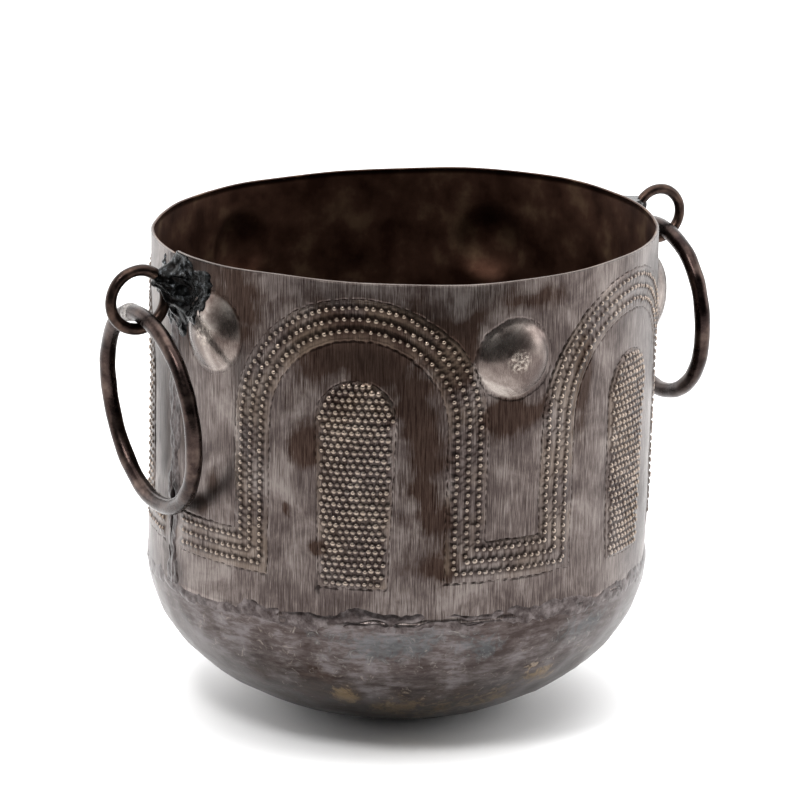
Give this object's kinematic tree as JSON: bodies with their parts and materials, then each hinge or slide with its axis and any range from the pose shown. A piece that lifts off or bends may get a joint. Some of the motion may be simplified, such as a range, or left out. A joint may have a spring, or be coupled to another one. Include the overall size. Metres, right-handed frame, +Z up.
{
  "type": "hammered sheet-metal bowl",
  "caption": "Deep round bowl of hammered dark sheet steel, with arches of embossed dots, domed bosses and a loose ring handle on each side.",
  "frame": {"origin": "centre of the flat face that the bowl stands on", "axes": "+Z up out of the bowl's mouth, +X towards the right-hand ring handle, -X towards the left-hand handle over the wall's side seam"},
  "size_m": [0.2576, 0.2059, 0.1987],
  "materials": {
    "wall_sheet_steel": "hand-brushed, dark brown patina with worn high spots",
    "base_dish_steel": "hammered, dark brown patina with gold-brown blotches",
    "seam_weld": "rough weld bead",
    "eye_braze": "black lumpy braze",
    "eye_rod_steel": "forge-blackened, rust-brown tint",
    "ring_rod_steel": "forge-blackened, polished by handling",
    "ring_weld": "filed weld scar"
  },
  "bodies": {
    "root": {"wall_sheet": "wall_sheet_steel", "base_dish": "base_dish_steel", "base_seam_weld": "seam_weld", "side_seam_weld": "seam_weld", "left_eye": "eye_rod_steel", "right_eye": "eye_rod_steel", "left_eye_weld": "eye_braze", "right_eye_weld": "eye_braze"},
    "left_handle": {"left_ring": "ring_rod_steel", "left_ring_weld": "ring_weld"},
    "right_handle": {"right_ring": "ring_rod_steel", "right_ring_weld": "ring_weld"}
  },
  "joints": [
    {"name": "left_ring_swing", "type": "hinge", "parent": "root", "child": "left_handle", "pos_m": [-0.11575, 0, 0.17065], "axis": [0, 1, 0], "range_deg": [-0.5, 222]},
    {"name": "right_ring_swing", "type": "hinge", "parent": "root", "child": "right_handle", "pos_m": [0.1157, 0, 0.1817], "axis": [0, -1, 0], "range_deg": [-12, 225]}
  ]
}
